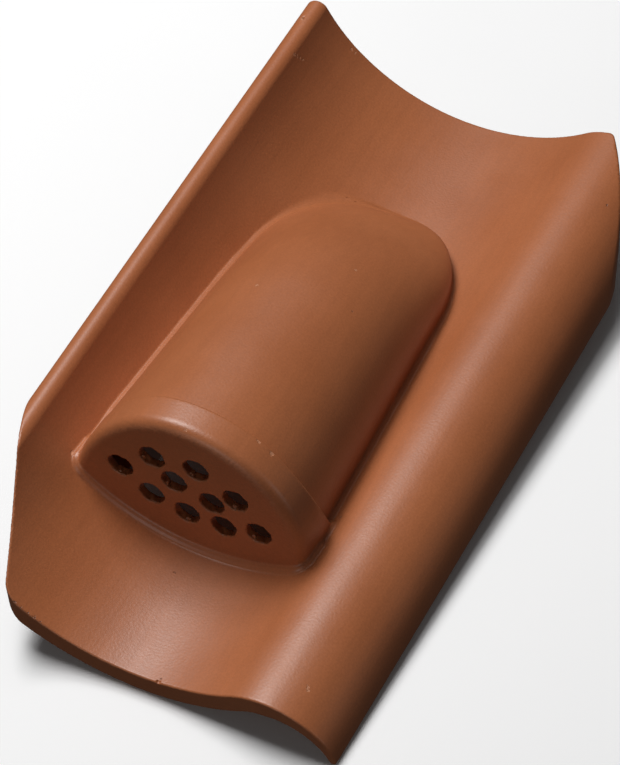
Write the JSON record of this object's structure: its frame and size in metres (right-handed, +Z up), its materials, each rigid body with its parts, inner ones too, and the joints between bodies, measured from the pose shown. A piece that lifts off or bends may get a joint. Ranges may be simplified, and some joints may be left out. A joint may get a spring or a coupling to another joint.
{
  "type": "roof vent tile",
  "caption": "S-shaped clay roof tile with a perforated half-barrel vent hood in its trough, which lets air out of the roof space while it sheds rain.",
  "frame": {"origin": "middle of the bounding box's bottom face, on the surface that the tile lies on", "axes": "+Y runs up the roof from the tail to the head, +X runs across the tile from the lip to the roll, +Z up"},
  "size_m": [0.2104, 0.4024, 0.1037],
  "materials": {
    "fired_clay": "satin, fine-grained fired clay with a thin red-brown slip"
  },
  "bodies": {
    "root": {"vent_tile": "fired_clay"}
  },
  "joints": []
}
